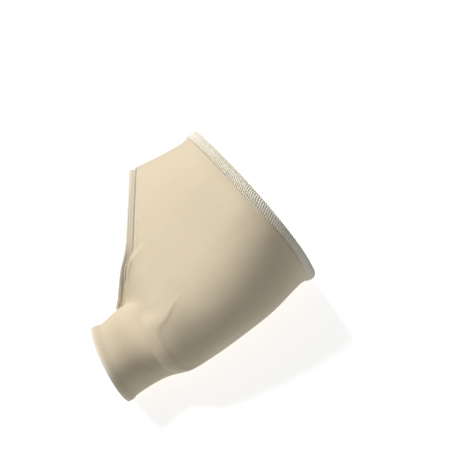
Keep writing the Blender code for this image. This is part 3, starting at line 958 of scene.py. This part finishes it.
# The overlock thread winds round the band, slanted: over it and then back under it in each stitch
turns_round = int(round(band_run[-1] / THREAD_PITCH))
pitch = band_run[-1] / turns_round
phase = np.arange(turns_round * THREAD_TURN_POINTS) / THREAD_TURN_POINTS
local = np.mod(phase, 1.0)
over = local < OVER_SHARE
under = np.clip((local - OVER_SHARE) / (1 - OVER_SHARE), 0, 1)
over_share, over_height = band_profile(np.clip(local / OVER_SHARE, 0, 1) * math.pi)
under_height = shoulder * (1 - smooth_step(UNDER_DROP * np.sin(under * math.pi)))
share = np.where(over, over_share, 1 - under)
height = np.where(over, over_height - THREAD_SINK, under_height)
wander = random.normal(0, THREAD_WANDER, (turns_round, 1))
wander = along_ring(np.arange(turns_round + 1, dtype=float), wander, phase)[:, 0]
thread_path = band_place(pitch * phase - THREAD_SLANT * (share - 0.5) + wander, share, height)
thread_points, thread_faces, _ = sweep(thread_path, THREAD_RADIUS, THREAD_SIDES, True)
thread = add_mesh("overlock_thread", thread_points, thread_faces, overlock)


def looper(name, share, height, slant_share):
    """A thread that chains the turns along one edge of the band."""
    steps = np.arange(turns_round * LOOPER_STEPS) / LOOPER_STEPS
    shares = share + LOOPER_WAVE / HEM_WIDTH * np.sin(2 * math.pi * steps)
    heights = height + LOOPER_RISE * LOOPER_WAVE * np.cos(2 * math.pi * steps)
    path = band_place(pitch * steps - THREAD_SLANT * (slant_share - 0.5), shares, heights)
    looper_points, looper_faces, _ = sweep(path, LOOPER_RADIUS, LOOPER_SIDES, True)
    return add_mesh(name, looper_points, looper_faces, overlock)


back_looper = looper("overlock_chain_back", BACK_CHAIN_SHARE, shoulder, 1.0)
front_looper = looper("overlock_chain_front", 0.0, WALL + FRONT_CHAIN_RISE, 0.0)


# The gel pad

PAD_RIM = 0.0006
RIM_SHARE = 1 - PAD_RIM / (PAD_WIDTH / 2)
RIM_BEND = 0.6
RIM_DROP = 0.55
RIM_TURN_UP = 0.18
PAD_OFF_FORM = 0.0001
STATION_STEP = 0.0003
SHARE_STEP = 0.01


def pad_places(turn, reach):
    """Places and outward ways of pad points on spokes from its middle, and how far off they are."""
    long_way, short_way = round_corner(turn, PAD_SQUARENESS)
    along = reach * long_way * PAD_LENGTH / 2
    around = reach * short_way * PAD_WIDTH / 2
    station = PAD_BEHIND + along
    share = (1 - (around + PAD_RISE) / toe_side_girth()) / 2
    place = toe_side(station, share)
    run_way = toe_side(station + STATION_STEP, share) - toe_side(station - STATION_STEP, share)
    turn_way = toe_side(station, share + SHARE_STEP) - toe_side(station, share - SHARE_STEP)
    return place, unit(np.cross(turn_way, run_way)), along, around


spokes = np.arange(PAD_SPOKES) * 2 * math.pi / PAD_SPOKES
rim_reaches = [RIM_SHARE + (1 - RIM_SHARE) * RIM_BEND, 1.0]
reaches = np.concatenate([np.linspace(0, RIM_SHARE, PAD_RINGS)[1:], rim_reaches])
turn_grid, reach_grid = np.meshgrid(spokes, reaches)
place, way, along, around = pad_places(turn_grid, reach_grid)
dome = pad_height(*pad_reach(along, around))
drop = RIM_DROP * smooth_step((reach_grid - RIM_SHARE) / (1 - RIM_SHARE))
outside_face = place + way * (dome * (1 - drop))[..., None]
inside_face = place + way * (PAD_OFF_FORM + RIM_TURN_UP * dome * drop)[..., None]
mid_place, mid_way, mid_along, mid_around = pad_places(np.zeros(1), np.zeros(1))
mid_dome = pad_height(*pad_reach(mid_along, mid_around))
pad_points = np.concatenate(
    [
        outside_face.reshape(-1, 3),
        inside_face.reshape(-1, 3),
        mid_place + mid_way * mid_dome[:, None],
        mid_place + mid_way * PAD_OFF_FORM,
    ]
)
pad_ids = np.arange(len(reaches) * PAD_SPOKES).reshape(len(reaches), PAD_SPOKES)
under = pad_ids + pad_ids.size
top_middle, low_middle = 2 * pad_ids.size, 2 * pad_ids.size + 1
pad_faces = [tuple(q) for q in grid_quads(pad_ids)]
pad_faces += [tuple(q[::-1]) for q in grid_quads(under)]
pad_faces += [tuple(q) for q in quads_between(pad_ids[-1], under[-1])]
following = np.roll(np.arange(PAD_SPOKES), -1)
pad_faces += [(top_middle, a, b) for a, b in zip(pad_ids[0], pad_ids[0][following])]
pad_faces += [(low_middle, b, a) for a, b in zip(under[0], under[0][following])]
pad = add_mesh("gel_pad_body", pad_points, pad_faces, gel)
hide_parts("gel_pad")


# Floor and backdrop

FLOOR_GAP = 0.0001
FLOOR_RADIUS = 1.6
WALL_CURVE = 0.9
DOME_HEIGHT = 3.0
STAGE_SEGMENTS = 64
PAPER_GLOW = 0.62
floor_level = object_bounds()[0].z - FLOOR_GAP
profile = [(r, 0.0) for r in (0.05, 0.3, 0.8, FLOOR_RADIUS)]
profile += [
    (FLOOR_RADIUS + WALL_CURVE * math.sin(a), WALL_CURVE * (1 - math.cos(a)))
    for a in np.linspace(0, math.pi / 2, 9)[1:]
]
profile += [(FLOOR_RADIUS + WALL_CURVE, DOME_HEIGHT)]
stage_turns = [2 * math.pi * k / STAGE_SEGMENTS for k in range(STAGE_SEGMENTS)]
stage_points = [(0.0, 0.0, floor_level)]
stage_points += [
    (r * math.cos(a), r * math.sin(a), z + floor_level) for r, z in profile for a in stage_turns
]
stage_ids = 1 + np.arange(len(profile) * STAGE_SEGMENTS).reshape(-1, STAGE_SEGMENTS)
stage_faces = [(0, int(a), int(b)) for a, b in zip(stage_ids[0], np.roll(stage_ids[0], -1))]
stage_faces += [tuple(int(k) for k in q[::-1]) for q in grid_quads(stage_ids)]
stage_mesh = bpy.data.meshes.new("floor")
stage_mesh.from_pydata(stage_points, [], stage_faces)
stage_mesh.shade_smooth()
paper = Nodes("paper", (0.93, 0.93, 0.93), 0.9)
paper.shader.inputs["Emission Color"].default_value = (1, 1, 1, 1)
paper.shader.inputs["Emission Strength"].default_value = PAPER_GLOW
paper_colour = paper.mix(paper.noise(8.0), (0.92, 0.92, 0.92), (0.95, 0.95, 0.95))
stage_mesh.materials.append(paper.finish(paper_colour))
floor = bpy.data.objects.new("floor", stage_mesh)
bpy.context.scene.collection.objects.link(floor)
floor.visible_diffuse = False
floor.visible_shadow = False
floor.visible_glossy = False


# Camera, at the photograph's viewing angle

AZIMUTH, ELEVATION, ROLL = (math.radians(a) for a in (70.9, 52.56, 13.48))
DISTANCE = 0.53269
TARGET = Vector((0.0113, 0.0278, 0.0348))
PIXELS_A_METRE = 2590.0
FRAME_PIXELS = 450
SENSOR = 36.0
back = Vector(
    (
        math.sin(AZIMUTH) * math.cos(ELEVATION),
        -math.cos(AZIMUTH) * math.cos(ELEVATION),
        math.sin(ELEVATION),
    )
)
level = Vector((math.cos(AZIMUTH), math.sin(AZIMUTH), 0.0))
upright = back.cross(level)
right = level * math.cos(ROLL) - upright * math.sin(ROLL)
top = level * math.sin(ROLL) + upright * math.cos(ROLL)
camera_data = bpy.data.cameras.new("camera")
camera_data.sensor_width = SENSOR
camera_data.lens = SENSOR * PIXELS_A_METRE * DISTANCE / FRAME_PIXELS
camera_data.clip_start, camera_data.clip_end = 0.01, 20.0
camera = bpy.data.objects.new("camera", camera_data)
bpy.context.scene.collection.objects.link(camera)
turned = Matrix((right, top, back)).transposed().to_4x4()
camera.matrix_world = Matrix.Translation(TARGET + back * DISTANCE) @ turned
bpy.context.scene.camera = camera


# Lights

def add_sun(name, from_way, strength, angle, colour=(1, 1, 1)):
    """A sun that shines from the given way, its angle in degrees."""
    light = bpy.data.lights.new(name, "SUN")
    light.energy = strength
    light.angle = math.radians(angle)
    light.color = colour
    item = bpy.data.objects.new(name, light)
    bpy.context.scene.collection.objects.link(item)
    item.rotation_mode = "QUATERNION"
    item.rotation_quaternion = (-from_way).to_track_quat("-Z", "Y")


key_way = -0.62 * right + 0.75 * top + 0.23 * back
low_way = 0.20 * right - 0.85 * top - 0.48 * back
add_sun("key", key_way, 2.98, 26.0, (1.0, 0.99, 0.965))
add_sun("low_fill", low_way, 1.05, 80.0)

world = bpy.data.worlds.new("studio")
bpy.context.scene.world = world
world.use_nodes = True
background = world.node_tree.nodes["Background"]
background.inputs["Color"].default_value = (0.97, 0.985, 1.0, 1)
background.inputs["Strength"].default_value = 0.32

bpy.context.scene.view_settings.view_transform = "Standard"
